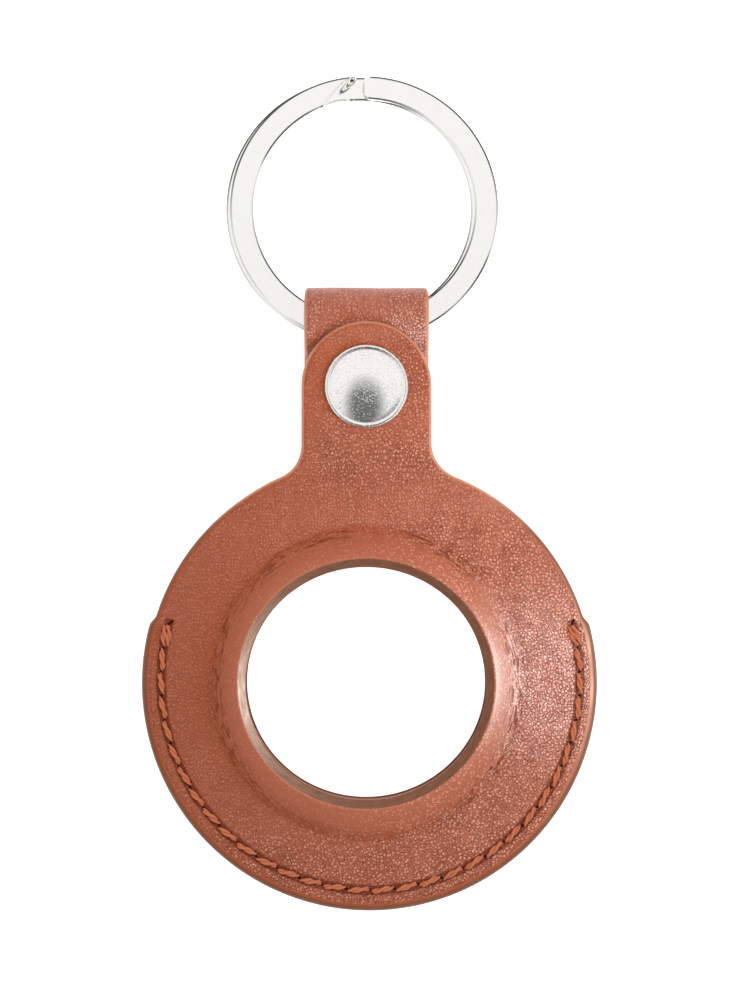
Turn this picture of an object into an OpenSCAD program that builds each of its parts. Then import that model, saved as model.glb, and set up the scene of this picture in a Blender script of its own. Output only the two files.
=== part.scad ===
// Leather key holder for a coin-shaped tracker, lying on its back with its split ring towards +Y.
// Lengths are in millimetres. The origin is the centre of the window, midway between the panels.
// The holder rests on the crest of its back rim, on the underside of its loop and on the ring.

/* [Tracker pocket] */
// Diameter of the coin-shaped tracker that the pocket holds
tracker_d = 31.9; // [30:0.1:34]
// Thickness of that tracker, which the crests of the two rims stand flush with
tracker_t = 8; // [7:0.1:9]
// Play between the tracker's edge and the moulded pocket, on the radius
pocket_play = 0.25; // [0.1:0.05:0.5]
// Width by which the rim covers the edge of the tracker, which leaves the window
window_lip = 2.85; // [2.2:0.05:4]
// Width of the slanted cut edge of the window, seen from above
window_edge_w = 0.95; // [0.5:0.05:1.2]
// Height of that slanted cut
window_edge_h = 0.45; // [0.2:0.05:0.6]
// Height that the crest of the moulded rim is pressed flat by
crest_flat = 0.2; // [0.1:0.05:0.3]

/* [Leather] */
// Thickness of the face leather
leather_t = 0.9; // [0.7:0.05:1.1]
// Thickness of the lining
lining_t = 0.3; // [0.2:0.05:0.5]
// Width of the flange, from the moulded pocket out to the sewn edge
flange_w = 9.25; // [8.6:0.05:11]
// Step from the sewn edge in to the loose edge of the flap
edge_step = 0.45; // [0.2:0.05:0.8]
// Height of that step above the window's centre
step_y = 7.4; // [6:0.1:8.5]
// Width of the flap's tab
tab_w = 14.5; // [13.5:0.1:15.5]
// Radius of the hollow curve between the disc and the neck
neck_fillet = 4; // [3:0.1:5]
// Width of the back strap and its loop
loop_w = 13.9; // [12.5:0.1:14.5]
// Length of the neck, from the disc's edge to the top of the loop
neck_l = 18.75; // [18.35:0.05:20.5]
// Radius of the crease where the fold opens into the loop
fold_crease_r = 0.5; // [0.3:0.05:0.6]
// Length of strap that folds down past the snap's axis
fold_tail = 4.4; // [4:0.1:6]

/* [Flap] */
// Distance from the window's centre to the line where the flap bends
bend_y = 9.5; // [9:0.1:11]
// Gap between the flap and the sewn part of the front at that line
bend_gap = 0.1; // [0.05:0.05:0.3]
// Height of the bending line above the crest of the front rim
bend_rise = 0.1; // [0.05:0.05:0.3]
// Clearance between the end of the tab and the loop under it
tab_clear = 0.2; // [0.15:0.05:0.5]

/* [Seam] */
// Distance of the seam from the sewn edge
seam_inset = 2.35; // [2.2:0.05:3.4]
// Height of the two ends of the seam above the window's centre
seam_end_y = 6.6; // [4:0.1:6.8]
// Length of one stitch
stitch_l = 2.7; // [2:0.1:4]
// Width of the thread over the leather
thread_w = 0.56; // [0.4:0.02:0.6]
// Width of the thread where it dives through the leather
thread_hole_w = 0.44; // [0.3:0.02:0.46]
// Length of each slanted awl slit
slit_l = 1.35; // [1.2:0.05:1.6]
// Width of each slit
slit_w = 0.72; // [0.7:0.02:0.9]

/* [Split ring] */
// Outer diameter of the ring
ring_d = 30; // [27:0.5:34]
// Width of the flat wire
wire_w = 2.6; // [2:0.1:2.8]
// Thickness of the flat wire
wire_t = 1; // [0.8:0.05:1.1]
// Size of the chamfer along the wire's corners
wire_chamfer = 0.35; // [0.2:0.05:0.4]
// Gap between the two layers of wire
layer_gap = 0.42; // [0.42:0.01:0.5]
// Sideways shift of the back layer
layer_shift = 0.45; // [0.2:0.05:0.6]
// Play of the ring in the loop
ring_play = 0.13; // [0.1:0.01:0.3]

/* [Snap] */
// Distance from the crease of the fold down to the snap's axis
snap_inset = 2.94; // [2.84:0.02:3.4]
// Space between the folded strap and the tab, which the stud and socket fill
snap_space = 2.2; // [2.1:0.05:2.6]
// Diameter of the cap on the tab
cap_d = 9.3; // [8.5:0.1:9.6]
// Height of the cap
cap_h = 1.5; // [1.2:0.05:2]
// Thickness of the cap's rolled rim
cap_bead = 0.57; // [0.4:0.01:0.7]
// Thickness of the snap's sheet metal
sheet_t = 0.3; // [0.2:0.02:0.32]
// Diameter of the socket
socket_d = 6.6; // [6.2:0.1:7]
// Diameter of the stud's base
stud_base_d = 5.6; // [5:0.1:5.8]
// Diameter of the stud's head
stud_head_d = 3.6; // [3.4:0.05:3.8]
// Diameter of the stud's neck
stud_neck_d = 3.2; // [3:0.05:3.3]
// Height of the stud over its base
stud_h = 1.2; // [1:0.05:1.25]
// Clearance round the stud's head in the socket's mouth
mouth_play = 0.35; // [0.3:0.05:0.4]
// Gap between the socket and the stud's base
socket_lift = 0.15; // [0.1:0.05:0.2]
// Diameter of the two posts that rivet the snap to the leather
post_d = 2; // [1.6:0.05:2.1]
// Clearance round the posts
post_play = 0.05; // [0.03:0.01:0.1]
// Diameter of the riveted cap on the back
rivet_d = 5.6; // [5:0.1:5.8]
// Height of the riveted cap on the back
rivet_h = 0.9; // [0.5:0.05:1.5]
// Diameter of the socket spring's wire
spring_wire_d = 0.4; // [0.3:0.02:0.44]

/* [Hidden] */
$fn = 96;

// Overrun of every cut past the face that it leaves
cut = 1;

// Panels
panel_t = leather_t + lining_t;
bore_r = tracker_d / 2 - window_lip;
pocket_r = tracker_d / 2 + pocket_play;
sewn_r = pocket_r + flange_w;
seam_r = sewn_r - seam_inset;
rim_h = tracker_t / 2;
hollow_w = pocket_r - bore_r;
hollow_h = rim_h + crest_flat - panel_t;
window_edge_r = bore_r + window_edge_w;
loose_r = sewn_r - edge_step;
dome_steps = 8;
// Radius where the outside of the moulded rim rises from the flat flange
crease_r = bore_r + (hollow_w + panel_t) * cos(asin(panel_t / (hollow_h + panel_t)));

// Ring and loop
ring_r = ring_d / 2;
wire_in_r = ring_r - wire_w;
wire_mid_r = ring_r - wire_w / 2;
ring_half_t = wire_t + layer_gap / 2;
// Where the wire's inner edge crosses the end of the loop, measured from the ring's centre
wire_near = sqrt(pow(wire_in_r, 2) - pow(loop_w / 2 + layer_shift, 2));
ring_arm = (ring_r + wire_near) / 2;
ring_reach = norm([(ring_r - wire_near) / 2, ring_half_t - wire_chamfer]);
loop_in_r = ring_reach + ring_play;
loop_r = loop_in_r + panel_t;
loop_top_y = sewn_r + neck_l;
pivot_y = loop_top_y - loop_r;
fold_h = panel_t + fold_crease_r;
fold_y = pivot_y - sqrt(pow(loop_r + fold_crease_r, 2) - pow(fold_h, 2));
fold_a = atan2(fold_h, pivot_y - fold_y);
snap_y = fold_y - snap_inset;
fold_end_y = snap_y - fold_tail;
// Angle that the cavity's sharp tip is cut off at, so that it ends in a narrow slot
tip_a = 75;
// Tilt that lets the ring's far end rest on the same surface as the loop
ring_far = ring_arm + ring_r;
ring_tilt = asin((rim_h - ring_half_t) / ring_far);

// Flap
tab_z = panel_t + snap_space;
tab_top = tab_z + panel_t;
tab_end_z = loop_r + tab_clear;
cap_r = cap_d / 2;
bead_r = cap_bead / 2;
ramp_margin_share = 0.03;
ramp_y0 = crease_r * (1 + ramp_margin_share);
// Line inside the flat flange where the neck starts, so that neck and disc overlap
neck_y0 = (crease_r + ramp_y0) / 2;
ramp_y1 = snap_y - cap_r;
lift_y0 = snap_y + cap_r - bead_r;
lift_y1 = lift_y0 + cap_r / 2;
tab_end_y = snap_y + tab_w / 2;
bend_z = rim_h + bend_rise;

// Snap
post_r = post_d / 2;
post_hole_r = post_r + post_play;
flare_w = 0.25;
socket_z = panel_t + sheet_t + socket_lift;
mouth_r = stud_head_d / 2 + mouth_play;
// Where the stud's head starts to swell, where it is widest and where it starts to taper
swell_share = 0.4;
wide_share = 0.6;
taper_share = 0.75;
spring_gap = 0.02;
spring_open_a = 60;

// Seam
seam_a0 = asin(seam_end_y / seam_r);
seam_sweep = 180 + 2 * seam_a0;
stitches = round(seam_r * seam_sweep * PI / 180 / stitch_l);
stitch_a = seam_sweep / stitches;
// Turn of each slit from the radius, and with it the slant of the stitches
slit_lean = 55;
leg_out = (slit_l - slit_w) / 2;
thread_sides = 6;
thread_gap = 0.04;

function ease(u) = let(v = min(1, max(0, u))) v * v * (3 - 2 * v);
function polar(r, a) = [r * cos(a), r * sin(a)];
function unit(v) = v / norm(v);
function reversed(list) = [for (i = [len(list) - 1:-1:0]) list[i]];

// The moulded rim: each surface is a quarter ellipse, w outside the pocket's own surface
function dome_point(w, a) = [bore_r + (hollow_w + w) * cos(a), (hollow_h + w) * sin(a)];
function dome_foot(w) = asin(w / (hollow_h + w));
function dome_curve(w, top_a) = [for (i = [0:dome_steps])
    dome_point(w, dome_foot(w) + (top_a - dome_foot(w)) * i / dome_steps)];

function lining_profile() = concat(
    [[sewn_r, 0], [sewn_r, lining_t]], dome_curve(lining_t, 90), reversed(dome_curve(0, 90)));

function leather_profile() = concat(
    [[sewn_r, lining_t], [sewn_r, panel_t]], dome_curve(panel_t, asin(rim_h / (hollow_h + panel_t))),
    [[window_edge_r, rim_h], [bore_r, rim_h - window_edge_h]], reversed(dome_curve(lining_t, 90)));

// Plan of the neck from the disc to a straight end, for a strap of the given half width
function neck_points(half_w, end_y) = let(
    fillet_x = half_w + neck_fillet,
    fillet_y = sqrt(pow(loose_r + neck_fillet, 2) - pow(fillet_x, 2)),
    disc_a0 = asin(neck_y0 / loose_r),
    disc_a1 = atan2(fillet_y, fillet_x),
    steps = 6)
    concat(
        [for (i = [0:steps]) polar(loose_r, disc_a0 + (disc_a1 - disc_a0) * i / steps)],
        [for (i = [1:steps]) [fillet_x, fillet_y] - polar(neck_fillet, disc_a1 * (1 - i / steps))],
        [[half_w, end_y]]);

function mirrored(points) = concat(points, [for (p = reversed(points)) [-p[0], p[1]]]);

// Height of the flap's underside along its length
function flap_z(y) = tab_z * ease((y - ramp_y0) / (ramp_y1 - ramp_y0))
    + (tab_end_z - tab_z) * ease((y - lift_y0) / (lift_y1 - lift_y0));
ramp_steps = 8;
lift_steps = 6;
flap_stations = concat(
    [neck_y0],
    [for (i = [0:ramp_steps]) ramp_y0 + (ramp_y1 - ramp_y0) * i / ramp_steps],
    [for (i = [0:lift_steps]) lift_y0 + (lift_y1 - lift_y0) * i / lift_steps],
    [tab_end_y + cut]);
function flap_profile(low, high) = concat(
    [for (y = flap_stations) [y, flap_z(y) + low]],
    [for (y = reversed(flap_stations)) [y, flap_z(y) + high]]);

// Side view of the strap's fold: the surface that lies w inside the outer one
loop_steps = 28;
crease_steps = 5;
function crease_arc(w, a0, side) = [for (i = [0:crease_steps])
    let(a = a0 + (fold_a - a0) * i / crease_steps)
    [fold_y + (fold_crease_r + w) * cos(a), side * (fold_h - (fold_crease_r + w) * sin(a))]];
function loop_arc(w) = [for (i = [1:loop_steps - 1])
    [pivot_y, 0] + polar(loop_r - w, 180 + fold_a + (360 - 2 * fold_a) * i / loop_steps)];
function loop_edge(w, a0) = concat(
    crease_arc(w, a0, -1), loop_arc(w), reversed(crease_arc(w, a0, 1)));

// A profile of [y, z] points drawn across the strap
module across(width, points) {
    translate([-width / 2, 0, 0])
        rotate([90, 0, 90])
        linear_extrude(width)
        polygon(points);
}

// Everything from a line across the part towards +Y
module beyond(y) {
    translate([-sewn_r - cut, y, -tracker_t])
        cube([2 * (sewn_r + cut), loop_top_y + sewn_r, 2 * tracker_t]);
}

// The strip that the loose edge steps in by
module edge_step_cut() {
    difference() {
        beyond(step_y);
        cylinder(r = loose_r, h = 4 * tracker_t, center = true);
    }
}

module snap_hole() {
    translate([0, snap_y, 0])
        cylinder(r = post_hole_r, h = 4 * tracker_t, center = true);
}

// The awl slits of the whole seam, up to height z1 from z0
module slits(z0, z1) {
    for (i = [0:stitches])
        rotate([0, 0, seam_a0 - i * stitch_a])
            translate([seam_r, 0, z0])
            rotate([0, 0, slit_lean])
            translate([-slit_l / 2, -slit_w / 2, 0])
            cube([slit_l, slit_w, z1 - z0]);
}

module disc_layer(points) {
    difference() {
        rotate_extrude() polygon(points);
        edge_step_cut();
        slits(-cut, panel_t + cut);
    }
}

// Lower front, sewn to the back along its edge
module front_piece(points) {
    difference() {
        disc_layer(points);
        beyond(bend_y - bend_gap / 2);
    }
}

// Loose upper front: the rim's upper part, the ramp and the tab
module flap_piece(points, low, high) {
    difference() {
        union() {
            intersection() {
                rotate_extrude() polygon(points);
                cylinder(r = loose_r, h = 4 * tracker_t, center = true);
                difference() {
                    beyond(bend_y + bend_gap / 2);
                    beyond(ramp_y0);
                }
            }
            intersection() {
                across(2 * sewn_r, flap_profile(low, high));
                union() {
                    linear_extrude(2 * tracker_t) polygon(mirrored(neck_points(tab_w / 2, snap_y)));
                    translate([0, snap_y, 0]) cylinder(d = tab_w, h = 2 * tracker_t);
                }
            }
        }
        snap_hole();
    }
}

// The back's disc and the straight part of its strap
module back_piece(points, low, high) {
    difference() {
        mirror([0, 0, 1]) disc_layer(points);
        beyond(ramp_y0);
    }
    translate([0, 0, -high])
        linear_extrude(high - low)
        polygon(mirrored(neck_points(loop_w / 2, fold_end_y)));
}

module back_panel() {
    color("#a8603f") difference() {
        union() {
            back_piece(leather_profile(), lining_t, panel_t);
            across(loop_w, concat(
                [[fold_end_y, -panel_t]], loop_edge(0, 90), [[fold_end_y, panel_t], [fold_end_y, lining_t]],
                reversed(loop_edge(leather_t, 90)), [[fold_end_y, -lining_t]]));
        }
        snap_hole();
    }
}

module back_lining() {
    color("#8a4c33") difference() {
        union() {
            back_piece(lining_profile(), 0, lining_t);
            across(loop_w, concat(
                [[fold_end_y, -lining_t]], loop_edge(leather_t, 90), [[fold_end_y, lining_t]]));
        }
        across(loop_w + 2 * cut, loop_edge(panel_t, tip_a));
        snap_hole();
    }
}

module front_panel() {
    color("#b46a48") front_piece(leather_profile());
}

module front_lining() {
    color("#8a4c33") front_piece(lining_profile());
}

module front_flap() {
    color("#ba704e") flap_piece(leather_profile(), lining_t, panel_t);
}

module flap_lining() {
    color("#8a4c33") flap_piece(lining_profile(), 0, lining_t);
}

// Thread: over the leather from the inner end of one slit to the outer end of the next, down to
// the middle plane, along the slit and up again
function leg_point(i, end) = let(
    a = seam_a0 - i * stitch_a,
    p = polar(seam_r, a) + end * polar(leg_out, a + slit_lean))
    p;
over_z = panel_t + thread_w / 2 + thread_gap;
lock_z = thread_hole_w / 2 + thread_gap;
shoulder_share = 0.14;
function stitch_rings(i) = let(
    p = leg_point(i, -1),
    q = leg_point(i + 1, 1),
    over = q - p,
    s = p + over * shoulder_share,
    m = p + over / 2,
    e = q - over * shoulder_share,
    leg = thread_hole_w / 2,
    body = thread_w / 2)
    [
        [p[0], p[1], lock_z, leg],
        [p[0], p[1], panel_t - thread_gap, leg],
        [s[0], s[1], over_z, leg],
        [m[0], m[1], over_z, body],
        [e[0], e[1], over_z, leg],
        [q[0], q[1], panel_t - thread_gap, leg],
        [q[0], q[1], lock_z, leg]
    ];
thread_rings = [for (i = [0:stitches - 1]) each stitch_rings(i)];

function place(ring) = [ring[0], ring[1], ring[2]];
function ring_heading(rings, i) =
    unit(place(rings[min(i + 1, len(rings) - 1)]) - place(rings[max(i - 1, 0)]));
function ring_section(rings, i) = let(
    at = place(rings[i]),
    along = ring_heading(rings, i),
    side = unit(cross(along, [at[0], at[1], 0])),
    up = cross(side, along))
    [for (k = [0:thread_sides - 1])
        at + rings[i][3] * (side * cos(360 * k / thread_sides) + up * sin(360 * k / thread_sides))];

// Triangles of a closed tube of the given rings and sides
function tube_faces(count, sides) = concat(
    [for (i = [0:count - 2]) for (k = [0:sides - 1])
        let(a = i * sides + k, b = i * sides + (k + 1) % sides) each
        [[a, b, a + sides], [b, b + sides, a + sides]]],
    [for (k = [1:sides - 2]) [0, k + 1, k]],
    [for (k = [1:sides - 2]) let(base = (count - 1) * sides) [base, base + k, base + k + 1]]);

module thread() {
    polyhedron(
        points = [for (i = [0:len(thread_rings) - 1]) each ring_section(thread_rings, i)],
        faces = tube_faces(len(thread_rings), thread_sides));
}

module top_thread() {
    color("#b5673f") thread();
}

module bobbin_thread() {
    color("#b5673f") mirror([0, 0, 1]) thread();
}

module snap_cap() {
    dome_r = cap_r - cap_bead;
    steps = 12;
    color("#d8d8d6") translate([0, snap_y, tab_top]) rotate_extrude() polygon(concat(
        [[dome_r - sheet_t, 0]],
        [for (a = [-90:30:180]) [cap_r - bead_r, bead_r] + polar(bead_r, a)],
        [for (i = [1:steps]) let(a = 90 * i / steps)
            [dome_r * cos(a), bead_r + (cap_h - bead_r) * sin(a)]],
        [for (i = [steps:-1:0]) let(a = 90 * i / steps)
            [(dome_r - sheet_t) * cos(a), bead_r + (cap_h - bead_r - sheet_t) * sin(a)]]));
}

module cap_post() {
    plate_r = cap_r - cap_bead - 2 * sheet_t;
    roof_z = tab_z - sheet_t;
    end_z = roof_z - sheet_t / 2;
    core_r = post_r - sheet_t;
    color("#c9c9c6") translate([0, snap_y, 0]) rotate_extrude() polygon([
        [0, tab_top], [core_r, tab_top], [core_r, end_z], [post_r + flare_w, end_z],
        [post_r + flare_w, roof_z], [post_r, roof_z], [post_r, tab_top], [plate_r, tab_top],
        [plate_r, tab_top + sheet_t], [0, tab_top + sheet_t]]);
}

module snap_socket() {
    socket_r = socket_d / 2;
    color("#c9c9c6") translate([0, snap_y, 0]) rotate_extrude() polygon([
        [post_hole_r, tab_z], [socket_r, tab_z], [socket_r, socket_z], [mouth_r, socket_z],
        [mouth_r, socket_z + sheet_t], [socket_r - sheet_t, socket_z + sheet_t],
        [socket_r - sheet_t, tab_z - sheet_t], [post_hole_r, tab_z - sheet_t]]);
}

module socket_spring() {
    wire_r = spring_wire_d / 2;
    color("#b8b8b4") translate([0, snap_y, socket_z + sheet_t + wire_r + spring_gap])
        rotate([0, 0, 90 + spring_open_a / 2])
        rotate_extrude(angle = 360 - spring_open_a)
        translate([mouth_r + wire_r / 2, 0])
        circle(r = wire_r, $fn = 24);
}

module snap_stud() {
    head_r = stud_head_d / 2;
    neck_r = stud_neck_d / 2;
    inner_r = neck_r - sheet_t;
    base_z = panel_t + sheet_t;
    top_z = base_z + stud_h;
    color("#c9c9c6") translate([0, snap_y, 0]) rotate_extrude() polygon([
        [post_hole_r, panel_t], [stud_base_d / 2, panel_t], [stud_base_d / 2, base_z], [neck_r, base_z],
        [neck_r, base_z + stud_h * swell_share], [head_r, base_z + stud_h * wide_share],
        [head_r, base_z + stud_h * taper_share], [neck_r, top_z], [inner_r, top_z], [inner_r, base_z],
        [post_hole_r, base_z]]);
}

module stud_post() {
    rivet_r = rivet_d / 2;
    base_z = panel_t + sheet_t;
    core_r = post_r - sheet_t;
    steps = 8;
    color("#c9c9c6") translate([0, snap_y, 0]) rotate_extrude() polygon(concat(
        [for (i = [0:steps]) let(a = 90 * i / steps) [rivet_r * sin(a), -panel_t - rivet_h * cos(a)]],
        [[post_r, -panel_t], [post_r, base_z], [post_r + flare_w, base_z],
            [post_r + flare_w, base_z + sheet_t / 2], [core_r, base_z + sheet_t / 2], [core_r, -panel_t],
            [0, -panel_t]]));
}

// Split ring: one flat wire wound almost twice. Seen from the front it starts at the top, runs
// clockwise as the front layer, dives under its own start and runs round again as the back layer.
start_a = 89.5;
dive_a0 = -254;
dive_a1 = -268;
end_a = -613.5;
front_steps = 44;
dive_steps = 6;
back_steps = 44;
wire_angles = concat(
    [for (i = [0:front_steps]) start_a + (dive_a0 - start_a) * i / front_steps],
    [for (i = [1:dive_steps]) dive_a0 + (dive_a1 - dive_a0) * i / dive_steps],
    [for (i = [1:back_steps]) dive_a1 + (end_a - dive_a1) * i / back_steps]);
function dive(a) = ease((a - dive_a0) / (dive_a1 - dive_a0));
function layer_z(a) = (wire_t + layer_gap) * (1 / 2 - dive(a));
wire_section = let(w = wire_w / 2, t = wire_t / 2, c = wire_chamfer) [
    [w, -t + c], [w, t - c], [w - c, t], [-w + c, t], [-w, t - c], [-w, -t + c], [-w + c, -t], [w - c, -t]];
wire_points = [for (a = wire_angles) for (s = wire_section)
    let(p = polar(wire_mid_r + s[0], a)) [p[0] - layer_shift * dive(a), p[1], layer_z(a) + s[1]]];

// Least gap between the turns: each section against the wire about one turn further on
gap_window = 20;
wire_gaps = [for (a = wire_angles) for (d = [-gap_window:gap_window]) let(b = a - 360 + d)
    if (b >= end_a && b <= start_a)
    norm([d * wire_mid_r * PI / 180, max(0, layer_z(a) - layer_z(b) - wire_t)])];
echo(least_gap_of_the_split_ring_to_itself = min(wire_gaps));

module split_ring() {
    color("#e2e2e0") translate([0, pivot_y, 0])
        rotate([-ring_tilt, 0, 0])
        translate([0, ring_arm, 0])
        polyhedron(points = wire_points, faces = tube_faces(len(wire_angles), len(wire_section)));
}

back_panel();
back_lining();
front_panel();
front_lining();
front_flap();
flap_lining();
top_thread();
bobbin_thread();
snap_cap();
cap_post();
snap_socket();
socket_spring();
snap_stud();
stud_post();
split_ring();
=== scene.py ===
"""Dresses the CAD frame of a leather tracker holder: stitched leather, snap and split ring."""

import math

import bmesh
import bpy
import numpy as np
from bpy.props import FloatProperty, FloatVectorProperty, IntProperty, PointerProperty
from bpy.types import Operator, Panel, PropertyGroup
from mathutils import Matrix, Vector, noise


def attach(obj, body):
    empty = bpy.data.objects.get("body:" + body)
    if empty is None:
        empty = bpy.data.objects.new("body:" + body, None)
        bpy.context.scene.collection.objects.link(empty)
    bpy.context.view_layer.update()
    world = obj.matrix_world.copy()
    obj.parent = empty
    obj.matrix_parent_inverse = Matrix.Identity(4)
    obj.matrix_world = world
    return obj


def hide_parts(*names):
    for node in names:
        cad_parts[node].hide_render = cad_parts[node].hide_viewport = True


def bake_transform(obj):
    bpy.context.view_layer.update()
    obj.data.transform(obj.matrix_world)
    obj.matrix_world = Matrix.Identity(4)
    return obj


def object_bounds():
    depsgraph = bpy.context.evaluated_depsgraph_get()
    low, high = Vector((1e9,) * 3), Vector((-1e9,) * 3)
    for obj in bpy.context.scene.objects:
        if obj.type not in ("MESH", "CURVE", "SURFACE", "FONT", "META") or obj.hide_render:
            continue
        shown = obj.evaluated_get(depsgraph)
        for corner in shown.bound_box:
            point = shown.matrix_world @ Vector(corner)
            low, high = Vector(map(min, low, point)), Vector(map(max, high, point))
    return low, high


bl_info = {
    "name": "Leather Tracker Holder",
    "version": (1, 0, 0),
    "blender": (4, 5, 0),
    "location": "View3D > Sidebar > Holder",
    "description": "Builds a stitched leather tracker holder around its CAD frame",
    "category": "Object",
}

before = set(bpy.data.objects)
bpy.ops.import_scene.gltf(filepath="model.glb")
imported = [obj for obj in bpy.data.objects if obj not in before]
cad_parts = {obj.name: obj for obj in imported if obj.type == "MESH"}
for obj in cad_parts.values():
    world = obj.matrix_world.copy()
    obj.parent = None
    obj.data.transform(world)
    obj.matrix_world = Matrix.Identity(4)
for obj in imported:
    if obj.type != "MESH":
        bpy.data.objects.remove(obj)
cad_low, cad_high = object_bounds()

MM = 0.001
MERGE = 0.001


def length(name, description, millimetres):
    return FloatProperty(
        name=name, description=description, default=millimetres * MM, unit="LENGTH", precision=5
    )


def colour(name, description, rgb):
    return FloatVectorProperty(
        name=name, description=description, default=rgb, subtype="COLOR", size=3, min=0, max=1
    )


class HOLDER_PG_leather(PropertyGroup):
    """Sizes and colours of the leather."""

    bore_r: length("Window", "Radius of the window", 13.1)
    edge_w: length("Window edge", "Width of the rounded edge of the window", 0.95)
    pocket_r: length("Pocket", "Radius of the pocket at the middle plane", 16.2)
    hollow_h: length("Pocket height", "Height of the pocket over the middle plane", 3.0)
    rim_h: length("Rim", "Height of the rim over the middle plane", 4.0)
    leather_t: length("Panel", "Thickness of face leather and lining together", 1.2)
    lining_t: length("Lining", "Thickness of the lining", 0.3)
    loose_r: length("Loose radius", "Radius of the disc where it isn't sewn", 25.0)
    sewn_step: length("Sewn step", "Step from the loose edge out to the sewn edge", 0.45)
    paint_w: length("Edge paint", "Width of the rounded, painted edge seen from above", 0.5)
    sewn_share: FloatProperty(
        name="Sewn edge", description="Width of the sewn edge over that of the loose one", default=1.7
    )
    slope_w: length("Slope", "Width of the rim's slope, from its crest to its foot", 3.4)
    neck_cut_y: length("Neck line", "Line where the neck starts", 17.73)
    fillet_r: length("Fillet", "Radius between disc and neck", 4.0)
    tab_half_w: length("Tab", "Half the width of the tab", 7.25)
    strap_half_w: length("Strap", "Half the width of the back strap", 6.95)
    snap_y: length("Snap", "Distance from the window's centre to the snap", 33.1)
    grain: colour("Grain", "Colour of the grain side", (0.49, 0.113, 0.044))
    # Painted shade: this colour darkens the grain's hollows and pits, the creases round the rim, the
    # leather beside the thread and the needle slits.
    painted_shade: colour("Grain hollows", "Colour in the hollows of the grain", (0.24, 0.045, 0.016))
    rim: colour("Rim", "Colour of the leather stretched over the rim", (0.44, 0.125, 0.064))
    paint: colour("Edge paint", "Colour of the painted edges", (0.17, 0.058, 0.028))
    lining: colour("Lining", "Colour of the lining", (0.22, 0.080, 0.044))


class HOLDER_PG_seam(PropertyGroup):
    """Sizes and colour of the seam."""

    radius: length("Seam", "Radius of the seam", 23.38)
    end_y: length("Seam ends", "Height of the seam's ends over its own centre", 6.35)
    ply_r: length("Ply", "Radius of one ply of the thread", 0.17)
    twist: length("Twist", "Length of one turn of the two plies", 2.6)
    stitches: IntProperty(name="Stitches", description="Stitches in the seam", default=32)
    thread: colour("Thread", "Colour of the thread", (0.58, 0.16, 0.07))


class HOLDER_PG_metal(PropertyGroup):
    """Sizes and colours of the snap and the split ring."""

    cap_r: length("Cap", "Radius of the snap's cap", 4.65)
    cap_h: length("Cap height", "Height of the cap", 1.5)
    bead_w: length("Cap rim", "Width of the cap's rolled rim", 0.57)
    ring_r: length("Ring", "Outer radius of the split ring", 15.0)
    wire_w: length("Wire", "Width of the ring's flat wire", 2.6)
    wire_t: length("Wire thickness", "Thickness of the ring's flat wire", 1.0)
    wire_bevel: length("Wire edge", "Rounding of the wire's edges", 0.2)
    layer_gap: length("Layer gap", "Gap between the two layers of the ring", 0.03)
    nickel: colour("Nickel", "Colour of the nickel plate", (0.93, 0.92, 0.89))


class HOLDER_PG_stage(PropertyGroup):
    """Light, floor and camera."""

    floor: colour("Floor", "Colour of the floor", (0.9, 0.9, 0.9))
    key_power: FloatProperty(name="Key", description="Power of the light on the right", default=0.03)
    sheen_power: FloatProperty(
        name="Sheen", description="Power of the light that only shows in reflections", default=0.2
    )
    lens: FloatProperty(name="Lens", description="Focal length in millimetres", default=200.0)


def mm(value):
    return value / MM


# Modelling tools. Pieces are modelled in millimetres and brought to metres at the end.


def only(obj):
    """Leaves this object alone selected."""
    bpy.ops.object.select_all(action="DESELECT")
    obj.select_set(True)
    bpy.context.view_layer.objects.active = obj


def edit(obj):
    only(obj)
    bpy.ops.object.mode_set(mode="EDIT")
    bpy.ops.mesh.select_mode(type="VERT")
    bpy.ops.mesh.select_all(action="SELECT")


def leave():
    bpy.ops.object.mode_set(mode="OBJECT")


def added(name, add, **settings):
    """A new object of that name, made by one of Blender's add operators."""
    bpy.ops.object.select_all(action="DESELECT")
    add(**settings)
    obj = bpy.context.active_object
    obj.name = name
    return obj


def points_of(obj):
    """The piece's points as rows of x, y and z."""
    co = np.empty(len(obj.data.vertices) * 3, np.float32)
    obj.data.vertices.foreach_get("co", co)
    return co.reshape(-1, 3).astype(float)


def set_points(obj, points):
    obj.data.vertices.foreach_set("co", np.asarray(points, np.float32).ravel())
    obj.data.update()


def store(obj, **columns):
    """Stores a number or a vector at each point, for the materials."""
    for name, values in columns.items():
        values = np.asarray(values, np.float32)
        kind, key = ("FLOAT", "value") if values.ndim == 1 else ("FLOAT_VECTOR", "vector")
        obj.data.attributes.new(name, kind, "POINT").data.foreach_set(key, values.ravel())


def merge(obj):
    """Joins points that lie on each other, and turns the faces outwards."""
    edit(obj)
    bpy.ops.mesh.remove_doubles(threshold=MERGE)
    bpy.ops.mesh.normals_make_consistent(inside=False)
    leave()


def turned(name, outline, steps):
    """A closed outline of [across, up] points, turned once round the Z axis."""
    obj = added(name, bpy.ops.mesh.primitive_circle_add, vertices=len(outline), radius=1)
    set_points(obj, [(x, 0, z) for x, z in outline])
    edit(obj)
    bpy.ops.mesh.spin(steps=steps, angle=2 * math.pi, center=(0, 0, 0), axis=(0, 0, 1))
    leave()
    merge(obj)
    return obj


def lofted(name, rows, closed=False):
    """A sheet through rows of points. A closed one joins its last column to its first."""
    rows = [list(row) + list(row[:1]) if closed else list(row) for row in rows]
    across, along = len(rows[0]) - 1, len(rows) - 1
    grid = bpy.ops.mesh.primitive_grid_add
    obj = added(name, grid, x_subdivisions=across, y_subdivisions=along, size=1)
    set_points(obj, [p for row in rows for p in row])
    return obj


def joined(objects):
    bpy.ops.object.select_all(action="DESELECT")
    for obj in objects:
        obj.select_set(True)
    bpy.context.view_layer.objects.active = objects[0]
    bpy.ops.object.join()
    merge(objects[0])
    return objects[0]


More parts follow.
